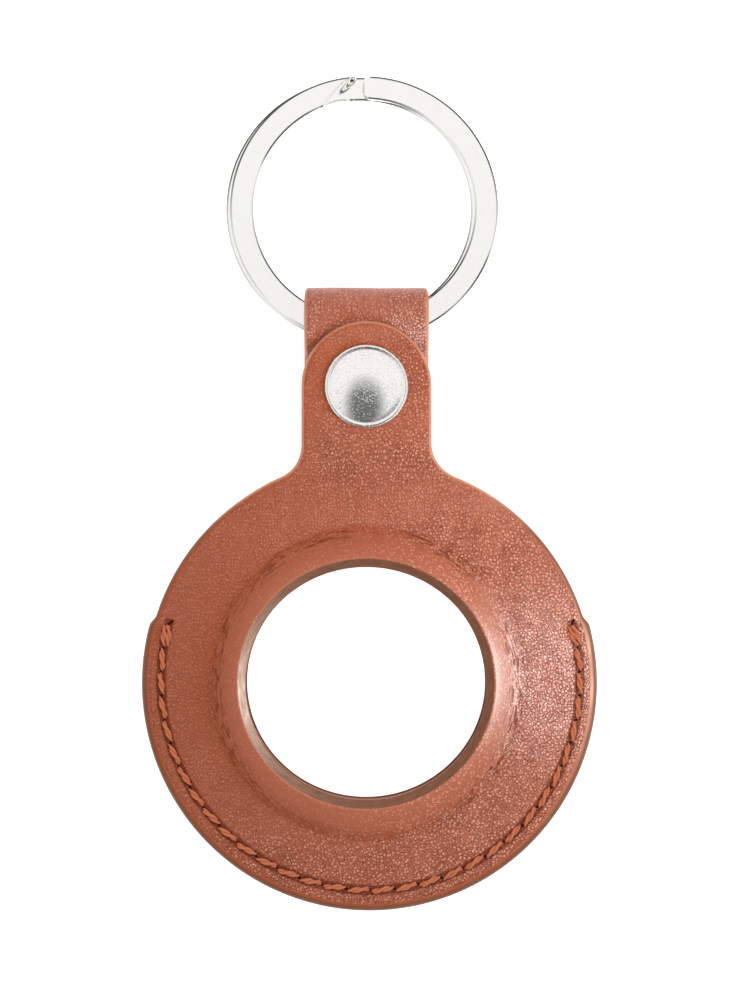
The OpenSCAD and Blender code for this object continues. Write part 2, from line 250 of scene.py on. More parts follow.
def finished(obj, angle=40):
    """Brings a piece to metres and smooths its shading."""
    only(obj)
    obj.scale = (MM, MM, MM)
    bpy.ops.object.transform_apply(location=False, rotation=False, scale=True)
    bpy.ops.object.shade_smooth_by_angle(angle=math.radians(angle))
    return obj


def applied(obj, kind, **settings):
    """Adds a modifier with its settings and applies it."""
    only(obj)
    modifier = obj.modifiers.new(kind.title(), kind)
    for key, value in settings.items():
        setattr(modifier, key, value)
    bpy.ops.object.modifier_apply(modifier=modifier.name)


def ease(x):
    x = np.clip(x, 0, 1)
    return x * x * (3 - 2 * x)


def fade(x, start, width):
    """0 up to the start, and from there smoothly to 1 over the width."""
    return ease((x - start) / width)


def wavy(points, scale, seed=0.0):
    """Smooth noise from -1 to 1 at each point. Scale is in waves per millimetre."""
    return np.array([noise.noise(Vector(p) * scale + Vector((seed, seed, seed))) for p in points])


# Leather. A blank is modelled flat, as [x, y, height over the middle plane], and then shaped.
# Bare lengths are in millimetres.

LIP_SUNK = 0.02
LIP_W, LIP_H = 0.06, 0.42
CREST_W = 0.2
SLOPE_EVEN = 0.6
SLOPE_ROWS = 30
FINE_ROW, WIDE_ROW = 0.15, 0.3
FINE_BELOW_R = 18.4
FINE_SEAM = (22.2, 23.9)
EDGE_GAP = 0.015
UNDER_W = 0.15
PAINT_MARGIN = 0.14
END_STEPS = 56
CUT_END_W = 0.18


def spaced(a, b, steps):
    """Points at even steps from a to b, with both ends."""
    return [tuple(p + (q - p) * i / steps for p, q in zip(a, b)) for i in range(steps + 1)]


def round_edge(flat_r, width, low, high, steps):
    """Quarter of a rounded edge, from its flat side down to its upright side."""
    out = []
    for i in range(steps + 1):
        t = math.pi / 2 * i / steps
        out.append((flat_r + width * math.sin(t) ** 0.9, low + (high - low) * math.cos(t) ** 0.9))
    return out


def dome(s, w, a):
    """A point of the moulded rim's inner side, w outside the pocket."""
    return (
        mm(s.bore_r) + (mm(s.pocket_r) - mm(s.bore_r) + w) * math.cos(a),
        (mm(s.hollow_h) + w) * math.sin(a),
    )


def leather_outline(s):
    """Section of the face leather of the disc: [radius, height]."""
    bore, crest = mm(s.bore_r), mm(s.bore_r) + mm(s.edge_w)
    top, flat, lining = mm(s.rim_h), mm(s.leather_t), mm(s.lining_t)
    lip_z = mm(s.hollow_h) - LIP_SUNK
    out = spaced((bore, lip_z), (bore, lip_z + LIP_H - 0.1), 3)
    out += spaced((bore + LIP_W, lip_z + LIP_H), (crest - 0.1, top - 0.11), 9)
    out += [(crest - 0.02, top - 0.055), (crest + 0.03, top - 0.032), (crest + 0.1, top - 0.012)]
    for i in range(SLOPE_ROWS + 1):
        share = i / SLOPE_ROWS
        fall = SLOPE_EVEN * share + (1 - SLOPE_EVEN) * float(ease(share))
        out.append((crest + CREST_W + mm(s.slope_w) * share, top - (top - flat) * fall))
    paint_r = mm(s.loose_r) - mm(s.paint_w)
    r = crest + CREST_W + mm(s.slope_w)
    while r < paint_r - 0.12:
        r += FINE_ROW if r < FINE_BELOW_R or FINE_SEAM[0] < r < FINE_SEAM[1] else WIDE_ROW
        out.append((min(r, paint_r - 0.1), flat))
    out += [(paint_r - 0.05, flat - 0.012), (paint_r - 0.02, flat - 0.03)]
    out += round_edge(paint_r, mm(s.paint_w), EDGE_GAP, flat, 9)
    under = mm(s.loose_r) - UNDER_W
    out += [(under, EDGE_GAP), (under, lining)]
    foot_a = math.asin(lining / (mm(s.hollow_h) + lining))
    out += spaced((under, lining), (dome(s, lining, foot_a)[0], lining), 8)[1:-1]
    out += [dome(s, lining, a) for a in np.linspace(foot_a, math.radians(87.4), 9)]
    out.append((out[-1][0], lip_z))
    return out


def lining_outline(s):
    """Section of the lining of the disc, a little smaller all round than the room for it."""
    thin, low, outer = mm(s.lining_t) - 0.01, 0.01, mm(s.loose_r) - UNDER_W - 0.03
    foot_a = math.asin(thin / (mm(s.hollow_h) + thin))
    low_a, high_a = math.asin(low / mm(s.hollow_h)), math.radians(86.5)
    out = [dome(s, thin, a) for a in np.linspace(high_a, foot_a, 11)]
    out += spaced((out[-1][0], thin), (outer, thin), 8)[1:]
    out += spaced((outer, low), (mm(s.pocket_r), low), 8)
    return out + [dome(s, 0, a) for a in np.linspace(low_a, high_a, 11)[1:]]


def section_of(obj):
    """The open edge of a cut blank, in order, from its top middle towards +X."""
    bm = bmesh.new()
    bm.from_mesh(obj.data)
    beside = {}
    for e in bm.edges:
        if e.is_boundary:
            a, b = e.verts
            beside.setdefault(a, []).append(b)
            beside.setdefault(b, []).append(a)
    first = min(beside, key=lambda v: (round(abs(v.co.x), 3), -v.co.z))
    line = [first, max(beside[first], key=lambda v: v.co.x)]
    while len(line) < len(beside):
        line.append(next(v for v in beside[line[-1]] if v is not line[-2]))
    out = [tuple(v.co) for v in line]
    bm.free()
    return out


def side_x(s, half_w, d, y):
    """Where the line that lies d inside the neck's outline crosses the height y."""
    disc, fillet = mm(s.loose_r), mm(s.fillet_r)
    fx = half_w + fillet
    fy = math.sqrt((disc + fillet) ** 2 - fx * fx)
    if y < (disc - d) * fy / (disc + fillet):
        return math.sqrt((disc - d) ** 2 - y * y)
    if y < fy:
        return fx - math.sqrt((fillet + d) ** 2 - (fy - y) ** 2)
    return half_w - d


def neck_rows(s, section, half_w, heights):
    """Rows of points from the disc along the neck. The rounded edge keeps its width."""
    cut_y, disc, zone = mm(s.neck_cut_y), mm(s.loose_r), mm(s.paint_w) + PAINT_MARGIN
    inner_0 = side_x(s, half_w, zone, cut_y)
    rows = []
    for y in heights:
        inner = side_x(s, half_w, zone, y)
        row = []
        for x, _, z in section:
            d = disc - math.hypot(x, cut_y)
            if d < zone:
                x = math.copysign(side_x(s, half_w, max(d, 0), y), x)
            else:
                x *= inner / inner_0
            row.append((x, y, z))
        rows.append(row)
    return rows


def turned_end(name, last):
    """The tab's round end: half of the last row, turned about its middle."""
    half = [p for p in last if p[0] > -MERGE / 2]
    rows = []
    for i in range(END_STEPS + 1):
        a = math.pi * i / END_STEPS
        rows.append([(x * math.cos(a), y + x * math.sin(a), z) for x, y, z in half])
    return lofted(name, rows)


def cut_end(name, last):
    """The strap's cut end: rows that close in a little beyond the last one."""
    middle = (min(p[2] for p in last) + max(p[2] for p in last)) / 2
    rows = [last]
    for share in (0.3, 0.6, 0.8):
        kept = 1 - 2 * CUT_END_W * (1 - math.sqrt(1 - share * share))
        rows.append([(x, y + CUT_END_W * share, middle + (z - middle) * kept) for x, y, z in last])
    return lofted(name, rows, closed=True)


def closed_up(obj):
    """Fills the open end of a piece and turns its faces outwards."""
    edit(obj)
    bpy.ops.mesh.select_all(action="DESELECT")
    bpy.ops.mesh.select_non_manifold(
        extend=False, use_wire=False, use_multi_face=False, use_non_contiguous=False, use_verts=False
    )
    bpy.ops.mesh.edge_face_add()
    bpy.ops.mesh.select_all(action="SELECT")
    bpy.ops.mesh.normals_make_consistent(inside=False)
    leave()


def blank(s, name, outline, steps, half_w, heights, end):
    """A disc with its neck, flat but for the moulded rim."""
    disc = turned(name, outline, steps)
    edit(disc)
    bpy.ops.mesh.bisect(
        plane_co=(0, mm(s.neck_cut_y), 0), plane_no=(0, 1, 0), clear_outer=True, threshold=0.00001
    )
    leave()
    section = section_of(disc)
    rows = neck_rows(s, section, half_w, [mm(s.neck_cut_y), *heights])
    rows[0] = section
    obj = joined([disc, lofted(name + "_neck", rows, closed=True), end(name + "_end", rows[-1])])
    closed_up(obj)
    return obj


# The seam's centre, its slanted slits, and how wide it dents the leather.
SEAM_X, SEAM_Y = 0.44, 0.28
SLIT_LEAN, SLIT_HALF = math.radians(55), 0.46
SEAM_W, HOLE_R = 0.42, 0.38


def seam_turn(seam):
    """Angle of the seam's right end over its centre, and the turn from hole to hole."""
    end_a = math.asin(mm(seam.end_y) / mm(seam.radius))
    return end_a, (math.pi + 2 * end_a) / seam.stitches


def seam_places(seam):
    """Angle and point of every needle hole, from the right end round the bottom to the left."""
    r = mm(seam.radius)
    end_a, step = seam_turn(seam)
    angles = [end_a - i * step for i in range(seam.stitches + 1)]
    return [(a, SEAM_X + r * math.cos(a), SEAM_Y + r * math.sin(a)) for a in angles]


def seam_dent(x, y, seam):
    """Nearness to a needle hole and nearness to the seam's line, from 0 to 1."""
    best = np.full(len(x), 9.0)
    for _, hx, hy in seam_places(seam):
        best = np.minimum(best, np.hypot(x - hx, y - hy))
    end_a = seam_turn(seam)[0] + 0.02
    r, a = np.hypot(x - SEAM_X, y - SEAM_Y), np.arctan2(y - SEAM_Y, x - SEAM_X)
    inside = (a < end_a) | (a > math.pi - end_a)
    line = np.exp(-(((r - mm(seam.radius)) / SEAM_W) ** 2)) * inside
    return np.exp(-((best / HOLE_R) ** 2)), line


# Irregularities of the real cut. Where something changes, the pair is its start and its length.

SEWN_EDGE_END = (6.4, 1.4)
SEWN_STEP_END = (6.3, 1.3)
SEWN_STEP_IN = (20, 3.5)
WINDOW_NEAR = (13.2, 3.5)
WINDOW_WIDER, WINDOW_LOWER = 0.02, 0.012
WINDOW_X, WINDOW_Y = -0.05, 0.04
DISC_X = 0.33
DISC_OUT, DISC_UP = (15, 6), (20, 7)


def cut_by_hand(s, p):
    """The small irregularities of the real cut: stepped edge, oval window, disc off the axis."""
    x, y, h = p.T.copy()
    r = np.maximum(np.hypot(x, y), 0.001)
    d = mm(s.loose_r) - r
    zone = mm(s.paint_w) + 0.1
    wide = 1 + (s.sewn_share - 1) * (1 - fade(y, *SEWN_EDGE_END))
    spread = np.where(d < zone, wide * d, wide * zone + (d - zone) * (3 - wide) / 2)
    spread = np.where(d > 3 * zone, d, spread)
    step = mm(s.sewn_step) * fade(r, *SEWN_STEP_IN) * (1 - fade(y, *SEWN_STEP_END))
    moved = 1 + (d - spread + step) / r
    x, y = x * moved, y * moved
    oval = 1 - fade(r, *WINDOW_NEAR)
    x = x * (1 + WINDOW_WIDER * oval) + WINDOW_X * oval
    y = y * (1 - WINDOW_LOWER * oval) + WINDOW_Y * oval
    x = x + DISC_X * fade(r, *DISC_OUT) * (1 - fade(y, *DISC_UP))
    return np.stack([x, y, h], 1)


SNAP_LIFT, SNAP_RAMP = 3.4, 10.72
LOOP_LIFT, LOOP_RAMP = 0.797, (37.465, 2.325)


def flap_lift(s, y):
    """Rise of the flap from the disc over the snap to the loop."""
    return SNAP_LIFT * fade(y, mm(s.neck_cut_y), SNAP_RAMP) + LOOP_LIFT * fade(y, *LOOP_RAMP)


FOLD_Y, FOLD_H = 36.04, 1.7
FOLD_A = math.radians(22.2)
CREASE_R = 0.5
PIVOT_Y, LOOP_R = 40.203, 3.997
TAIL = 7.34
HALF_T = 0.6
EVEN_FROM, EVEN_TO, EVEN_ROW = 18.1, 27.4, 0.36
LONG_ROWS, CREASE_ROWS, LOOP_ROWS, TAIL_ROWS = 17, 8, 60, 16


def strap_lengths():
    """Flat lengths of one crease beside the loop, and of the loop, in the leather's middle."""
    return (CREASE_R + HALF_T) * (math.pi / 2 - FOLD_A), (LOOP_R - HALF_T) * 2 * (math.pi - FOLD_A)


def folded(x, y, h, panel_t):
    """The back's flat blank, turned over and folded round the ring into its loop."""
    crease, loop = strap_lengths()
    w = panel_t - h
    s = y - FOLD_Y
    out_y, out_z = y, -h
    quarter, round_loop = FOLD_A - math.pi / 2, 2 * (math.pi - FOLD_A)
    for span, centre_y, centre_z, radius, start, sweep in (
        (crease, FOLD_Y, -FOLD_H, CREASE_R + w, math.pi / 2, quarter),
        (loop, PIVOT_Y, 0, LOOP_R - w, math.pi + FOLD_A, round_loop),
        (crease, FOLD_Y, FOLD_H, CREASE_R + w, -FOLD_A, quarter),
    ):
        on = (s >= 0) & (s < span)
        angle = start + sweep * s / span
        out_y = np.where(on, centre_y + radius * np.cos(angle), out_y)
        out_z = np.where(on, centre_z + radius * np.sin(angle), out_z)
        s = s - span
    out_y = np.where(s >= 0, FOLD_Y - s, out_y)
    return np.stack([x, out_y, np.where(s >= 0, h, out_z)], 1)


def strap_heights():
    """Rows along the strap: close where it bends."""
    crease, loop = strap_lengths()
    rows = list(np.arange(EVEN_FROM, EVEN_TO, EVEN_ROW))
    at = EVEN_TO
    for span, count in (
        (FOLD_Y - EVEN_TO, LONG_ROWS),
        (crease, CREASE_ROWS),
        (loop, LOOP_ROWS),
        (crease, CREASE_ROWS),
        (TAIL, TAIL_ROWS),
    ):
        rows += list(np.linspace(at, at + span, count + 1)[:-1])
        at += span
    return rows + [at]


RIM_R = 17
FOOT_R, FOOT_W = 16.85, 0.8
CREASED_R, CREASED_W = 16.9, 2.2
STRETCH_R, STRETCH_W = 16.2, 1.5
SWELL, FINE_SWELL = 0.05, 0.035
LINE_SUNK, HOLE_SUNK = 0.05, 0.13
CREASE_H = 0.06


def round_rim(x, y, r, around, across):
    """Points for noise that is drawn out round the rim, with no line where it closes."""
    r = np.maximum(r, 0.001)
    return np.stack([x / r * RIM_R * around, y / r * RIM_R * around, r * across], 1)


def creased(x, y, r):
    """Where the leather is creased round the foot of the rim, from 0 to 1."""
    out = np.zeros(len(r))
    near = np.abs(r - CREASED_R) < CREASED_W
    x, y, r = x[near], y[near], r[near]
    band = np.exp(-(((r - FOOT_R) / FOOT_W) ** 2))
    side = np.clip(0.3 + 0.8 * np.abs(x) / 14 + 0.25 * y / 14, 0.12, 1)
    where = np.clip(0.8 + 1.2 * wavy(round_rim(x, y, r, 0.14, 0.4), 1, 3.1), 0.1, 1)
    out[near] = np.clip(band * side * where * 1.4, 0, 1)
    return out


def grain_strength(x, y):
    """Where the pebbles stand out: in the neck, on the right, at the bottom and on the loop."""
    right = fade(x, -4, 12) * (1 - fade(y, 16, 6))
    neck = np.exp(-(((y - 25.5) / 4.5) ** 2)) * fade(x, -9, 6)
    tab = fade(x, 1, 5) * fade(y, 28, 3) + 0.6 * fade(y, 41, 4)
    low = 0.9 * fade(-y, 14, 6)
    return np.clip(0.5 + 0.5 * np.maximum.reduce([right, neck, tab, low]), 0, 1)


def dress_leather(obj, s, seam, back):
    """Shapes a face leather blank and stores what its material reads."""
    flat = points_of(obj)
    p = cut_by_hand(s, flat)
    x, y, h = p[:, 0], p[:, 1], p[:, 2].copy()
    u, v = flat[:, 0], flat[:, 1]
    r = np.hypot(u, v)
    upper = fade(h, 0.5, 0.4)
    dent, line = seam_dent(x, y, seam)
    crease = creased(u, v, r) * upper
    ripple = wavy(round_rim(u, v, r, 0.4, 1.2), 1, 6.3)
    stretch = 1 - fade(r, STRETCH_R, STRETCH_W)
    level = p * (1, 1, 0)
    push = SWELL * wavy(level, 0.13, 1.3) + FINE_SWELL * wavy(level, 0.5, 5.0) * (1 - stretch)
    push = push - LINE_SUNK * line - HOLE_SUNK * dent
    h = h + (push * fade(r, 16.5, 2) + CREASE_H * crease * ripple) * upper
    store(obj, plan=p, blank=flat, crease=crease, stretch=stretch)
    store(obj, line=line * upper, grain=grain_strength(x, y))
    if back:
        set_points(obj, folded(x, y, h, mm(s.leather_t)))
    else:
        set_points(obj, np.stack([x, y, h + flap_lift(s, v)], 1))
    merge(obj)
    painted(obj, s)


NECK_Y = 17.7
EDGE_LOW, EDGE_HIGH = 0.31, 0.028


def painted(obj, s):
    """Gives the faces of the rounded edges the edge paint's material slot."""
    mesh = obj.data
    flat = np.empty(len(mesh.vertices) * 3, np.float32)
    mesh.attributes["blank"].data.foreach_get("vector", flat)
    x, y, h = flat.reshape(-1, 3).T
    r, neck = np.hypot(x, y), y >= NECK_Y
    on = r < mm(s.bore_r) + mm(s.edge_w) + 0.01
    on |= (y < NECK_Y + 0.1) & (r > mm(s.loose_r) - mm(s.paint_w) - EDGE_GAP)
    on |= neck & (h < mm(s.leather_t) - EDGE_HIGH) & (h > EDGE_LOW)
    on |= neck & (h < EDGE_LOW) & (np.abs(x) > 6)
    on = on.tolist()
    for face in mesh.polygons:
        face.material_index = int(all(on[i] for i in face.vertices))


# Materials

# Colour of the painted highlights on the grain's crests.
CREST_HIGHLIGHT = (0.78, 0.34, 0.21)
EDGE_TAN = (0.6, 0.24, 0.14)
PEBBLES = 2.9
SHINY_X, SHINY_Y = 19.0, 1.0
SHINY_W, SHINY_H = 10.0, 12.0
FOLDS = ((10.0, 3.4, 1.0), (16.0, 4.6, 0.8))


class Nodes:
    """Writes a node tree, one call for each node."""

    def __init__(self, tree):
        self.tree = tree
        tree.nodes.clear()

    def add(self, kind, inputs=None, **settings):
        node = self.tree.nodes.new(kind)
        for key, value in settings.items():
            setattr(node, key, value)
        for key, value in (inputs or {}).items():
            if isinstance(value, bpy.types.NodeSocket):
                self.tree.links.new(value, node.inputs[key])
            else:
                node.inputs[key].default_value = value
        return node

    def math(self, operation, a, b=0.0, clamp=False):
        node = self.add("ShaderNodeMath", {0: a, 1: b}, operation=operation, use_clamp=clamp)
        return node.outputs[0]

    def plus(self, a, b):
        return self.math("ADD", a, b)

    def minus(self, a, b, clamp=False):
        return self.math("SUBTRACT", a, b, clamp)

    def times(self, a, b):
        return self.math("MULTIPLY", a, b)

    def over(self, a, b):
        return self.math("DIVIDE", a, b)

    def most(self, a, b):
        return self.math("MAXIMUM", a, b)

    def distance(self, a, b):
        """Distance of the point (a, b) from the origin."""
        return self.math("SQRT", self.plus(self.times(a, a), self.times(b, b)))

    def attribute(self, name, output="Fac"):
        return self.add("ShaderNodeAttribute", attribute_name=name).outputs[output]

    def place(self, kind="Object"):
        return self.add("ShaderNodeTexCoord").outputs[kind]

    def noise(self, vector, scale, detail=2.0, roughness=0.5):
        inputs = {"Vector": vector, "Scale": scale, "Detail": detail, "Roughness": roughness}
        return self.add("ShaderNodeTexNoise", inputs).outputs[0]

    def cells(self, vector, scale, feature):
        inputs = {"Vector": vector, "Scale": scale}
        return self.add("ShaderNodeTexVoronoi", inputs, feature=feature).outputs[0]

    def ramp(self, value, stops):
        """Stops are [position, grey or colour]."""
        node = self.add("ShaderNodeValToRGB", {0: value})
        band = node.color_ramp
        while len(band.elements) < len(stops):
            band.elements.new(0.5)
        for element, (at, tone) in zip(band.elements, stops):
            element.position = at
            element.color = (*tone, 1) if hasattr(tone, "__len__") else (tone, tone, tone, 1)
        return node.outputs[0]

    def mix(self, share, a, b, blend="MIX"):
        node = self.add("ShaderNodeMix", {0: share}, data_type="RGBA", blend_type=blend)
        for index, value in ((6, a), (7, b)):
            if isinstance(value, bpy.types.NodeSocket):
                self.tree.links.new(value, node.inputs[index])
            else:
                node.inputs[index].default_value = (*value, 1)
        return node.outputs[2]

    def vector(self, x, y, z):
        return self.add("ShaderNodeCombineXYZ", {0: x, 1: y, 2: z}).outputs[0]

    def split(self, vector):
        return self.add("ShaderNodeSeparateXYZ", {0: vector}).outputs

    def round_window(self, x, y, around, third):
        """Coordinates drawn out round the window, with no line where they close."""
        radius = self.distance(x, y)
        u, v = self.over(x, radius), self.over(y, radius)
        return self.vector(self.times(u, around), self.times(v, around), third)

    def bump(self, height, distance, normal=None):
        inputs = {"Height": height, "Distance": distance * MM, "Strength": 1.0}
        if normal is not None:
            inputs["Normal"] = normal
        return self.add("ShaderNodeBump", inputs).outputs[0]

    def surface(self, **inputs):
        """The shader. A space in the name of its input is written as an underscore."""
        inputs = {key.replace("_", " "): value for key, value in inputs.items()}
        shader = self.add("ShaderNodeBsdfPrincipled", inputs)
        out = self.add("ShaderNodeOutputMaterial")
        self.tree.links.new(shader.outputs[0], out.inputs[0])


def material(name):
    """A new material of that name, and the writer of its nodes."""
    made = bpy.data.materials.new(name)
    made.use_nodes = True
    return made, Nodes(made.node_tree)


def shared(name, make, *args):
    """The material of that name, made when it is first asked for."""
    return bpy.data.materials.get(name) or make(*args)


def scaled(rgb, share):
    return tuple(c * share for c in rgb)


def folds_round(n, flat):
    """Short crease dashes drawn out round the window, from 0 to 1: grooves in the bump, and painted
    shade in the colour.
    """
    x, y, _ = n.split(flat)
    lines = 0.0
    for around, outward, share in FOLDS:
        place = n.round_window(x, y, around, n.times(n.distance(x, y), outward))
        dashes = n.noise(place, 1.0, 1.0)
        lines = n.most(n.ramp(dashes, [(0.36, share), (0.43, 0.0)]), lines)
    return lines


def slit_mask(n, plan, seam):
    """1 inside the slanted slits between the stitches, which are darkened with painted shade, 0
    elsewhere.
    """
    x, y, _ = n.split(plan)
    x, y = n.minus(x, SEAM_X), n.minus(y, SEAM_Y)
    out = n.minus(n.distance(x, y), mm(seam.radius))
    turn = n.math("ARCTAN2", x, n.times(y, -1.0))
    end_a, step = seam_turn(seam)
    count = n.over(n.minus(end_a + math.pi / 2, turn), step)
    side = n.times(n.minus(count, n.math("ROUND", count)), -step * mm(seam.radius))
    lean, rise = math.cos(SLIT_LEAN), math.sin(SLIT_LEAN)
    along = n.plus(n.times(out, lean), n.times(side, rise))
    across = n.minus(n.times(side, lean), n.times(out, rise))
    over = n.most(n.minus(n.math("ABSOLUTE", along), SLIT_HALF), 0.0)
    mask = n.ramp(n.distance(over, across), [(0.06, 1.0), (0.16, 0.0)])
    last = end_a + math.pi / 2 + 0.4 * step
    return n.times(mask, n.math("LESS_THAN", n.math("ABSOLUTE", turn), last))


def polish(n, x, y):
    """Shine of the leather: handled smoother on the right of the window and over the loop."""
    across = n.over(n.minus(x, SHINY_X), SHINY_W)
    along = n.over(n.minus(y, SHINY_Y), SHINY_H)
    right = n.ramp(n.distance(across, along), [(0.35, 0.5), (1.0, 0.2)])
    loop = n.ramp(n.over(y, 60.0), [(0.7, 0.0), (0.8, 0.7)])
    return n.most(right, loop)


def skin_tone(n, s, plan, stretch):
    """Colour of the skin between its marks: a broad random tone, painted shade that darkens it
    towards the lower left, and pale over the rim.
    """
    x, y, _ = n.split(plan)
    # Painted shade: darker towards the lower left, away from the light on the upper right; the broad
    # noise is the leather's own uneven tone.
    side = n.plus(n.times(x, 0.022), n.times(y, 0.01))
    broad = n.plus(n.times(n.noise(plan, 0.2, 2.0), 0.5), 0.25)
    tone = n.mix(n.minus(broad, side, clamp=True), tuple(s.grain), scaled(s.grain, 0.74))
    return n.mix(n.times(stretch, 0.9), tone, tuple(s.rim))


def crest_highlights(n, plan, grain):
    """Painted highlights on the crests of the grain, from 0 to 1. They thin out in places."""
    crests = n.ramp(n.cells(plan, PEBBLES, "F1"), [(0.16, 1.0), (0.42, 0.0)])
    uneven = n.ramp(n.noise(plan, 1.7, 2.0), [(0.36, 0.35), (0.56, 1.0)])
    strong = n.minus(n.times(grain, 1.5), 0.5)
    return n.times(n.times(crests, uneven), n.most(strong, 0.25))


def grain_leather(s, seam):
    """Terracotta leather with a fine pebbled grain, stretched smooth over the rim, with painted shade
    in its hollows, creases and seam and painted highlights on its crests.
    """
    made, n = material("grain_leather")
    plan = n.attribute("plan", "Vector")
    crease, stretch, line, grain = (n.attribute(k) for k in ("crease", "stretch", "line", "grain"))
    fold = n.times(folds_round(n, n.attribute("blank", "Vector")), crease)
    slit = slit_mask(n, plan, seam)
    # Painted shade beside the thread, where it lies sunk in the leather.
    beside = n.ramp(line, [(0.1, 0.0), (0.32, 0.75)])
    edges = n.cells(plan, PEBBLES, "DISTANCE_TO_EDGE")
    fine, pits = n.noise(plan, 6.5, 3.0, 0.65), n.noise(plan, 3.2, 2.0)
    patches = n.ramp(n.noise(plan, 0.55, 2.0), [(0.35, 0.65), (0.65, 1.0)])
    keep = n.times(n.times(n.minus(1.0, n.times(stretch, 0.8)), patches), grain)

    pebbles = n.ramp(edges, [(0.0, 0.0), (0.1, 0.62), (0.3, 1.0)])
    relief = n.plus(n.times(pebbles, 0.55), n.times(fine, 0.9))
    relief = n.plus(relief, n.times(pits, 0.8))
    normal = n.bump(n.times(relief, keep), 0.15)
    normal = n.bump(n.times(fold, -1.0), 0.06, normal)
    normal = n.bump(n.times(slit, -1.0), 0.15, normal)

    tone = skin_tone(n, s, plan, stretch)
    # Marks mixed over the skin: painted shade in the grain's hollows and pits, painted highlights on
    # its crests, and painted shade in the creases, beside the thread and in the needle slits.
    for share, mark in (
        (n.times(n.ramp(edges, [(0.0, 1.0), (0.13, 0.0)]), keep), tuple(s.painted_shade)),
        (n.times(n.ramp(pits, [(0.32, 0.95), (0.43, 0.0)]), keep), tuple(s.painted_shade)),
        (crest_highlights(n, plan, grain), CREST_HIGHLIGHT),
        (n.times(fold, 0.6), scaled(s.painted_shade, 0.7)),
        (beside, scaled(s.painted_shade, 0.6)),
        (n.times(slit, 0.92), scaled(s.painted_shade, 0.12)),
    ):
        tone = n.mix(share, tone, mark)

    x, y, _ = n.split(plan)
    open_skin = n.minus(1.0, n.most(slit, n.most(beside, fold)))
    n.surface(
        Base_Color=tone,
        Roughness=n.plus(n.ramp(fine, [(0.3, 0.34), (0.75, 0.5)]), n.times(stretch, 0.13)),
        Normal=normal,
        Specular_IOR_Level=n.times(open_skin, polish(n, x, y)),
    )
    return made


def edge_paint(s):
    """Glossy brown edge paint with streaks along the edge, lighter tan round neck and tab."""
    made, n = material("edge_paint")
    x, y, z = n.split(n.attribute("plan", "Vector"))
    streaks = n.noise(n.round_window(x, y, 9.0, n.times(z, 5.0)), 1.0, 2.0)
    tone = n.mix(streaks, scaled(s.paint, 0.7), scaled(s.paint, 1.35))
    tone = n.mix(n.ramp(n.over(y, 50.0), [(0.34, 0.0), (0.42, 0.8)]), tone, EDGE_TAN)
    x, y, _ = n.split(n.attribute("blank", "Vector"))
    inward = n.over(n.minus(mm(s.loose_r), n.distance(x, y)), mm(s.paint_w))
    grain = n.ramp(inward, [(0.35, 0.0), (0.95, 1.0)])
    grain = n.times(grain, n.math("GREATER_THAN", 2.0, inward))
    n.surface(
        Base_Color=n.mix(grain, tone, scaled(s.grain, 0.8)),
        Roughness=n.ramp(streaks, [(0.3, 0.42), (0.7, 0.56)]),
        Normal=n.bump(streaks, 0.05),
        Specular_Tint=(1.0, 0.82, 0.68, 1.0),
        Specular_IOR_Level=n.ramp(n.over(inward, 50.0), [(0.2, 0.2), (0.3, 0.42)]),
    )
    return made


def lining_leather(s):
    """Matt brown lining with a short nap."""
    made, n = material("lining_leather")
    nap = n.noise(n.attribute("plan", "Vector"), 4.0, 4.0, 0.65)
    n.surface(
        Base_Color=n.mix(nap, scaled(s.lining, 0.7), scaled(s.lining, 1.3)),
        Roughness=0.85,
        Normal=n.bump(nap, 0.06),
        Sheen_Weight=0.25,
        Sheen_Roughness=0.4,
    )
    return made


def waxed_thread(seam):
    """Waxed thread with light and dark fibres."""
    made, n = material("waxed_thread")
    fibres = n.noise(n.place(), 9000.0, 3.0, 0.6)
    n.surface(
        Base_Color=n.mix(fibres, scaled(seam.thread, 0.62), scaled(seam.thread, 1.3)),
        Roughness=0.55,
        Normal=n.bump(fibres, 0.05),
    )
    return made


def nickel(name, m, roughness, depth, scale):
    """Nickel plate with fine pits."""
    made, n = material(name)
    marks = n.noise(n.place(), scale, 2.0)
    n.surface(
        Base_Color=n.mix(marks, tuple(m.nickel), scaled(m.nickel, 0.98)),
        Metallic=1.0,
        Roughness=n.ramp(marks, [(0.35, roughness), (0.7, roughness + 0.04)]),
        Normal=n.bump(n.ramp(marks, [(0.56, 0.0), (0.74, 1.0)]), depth),
    )
    return made


# Leather pieces

FRONT_STEPS, BACK_STEPS, LINING_STEPS = 576, 480, 240


def front_neck(s):
    """Half width, rows and end of the front's neck."""
    snap_y = mm(s.snap_y)
    rows = np.arange(mm(s.neck_cut_y) + WIDE_ROW, snap_y - 0.1, WIDE_ROW)
    return mm(s.tab_half_w), [*rows, snap_y], turned_end


def back_neck(s):
    """Half width, rows and end of the back's neck and strap."""
    return mm(s.strap_half_w), strap_heights(), cut_end


def leather_piece(context, name, steps, neck):
    """A face leather with its grain and its painted edges."""
    s, seam = context.scene.holder_leather, context.scene.holder_seam
    obj = blank(s, name, leather_outline(s), steps, *neck(s))
    dress_leather(obj, s, seam, back=neck is back_neck)
    finished(obj)
    obj.data.materials.append(shared("grain_leather", grain_leather, s, seam))
    obj.data.materials.append(shared("edge_paint", edge_paint, s))
    return obj


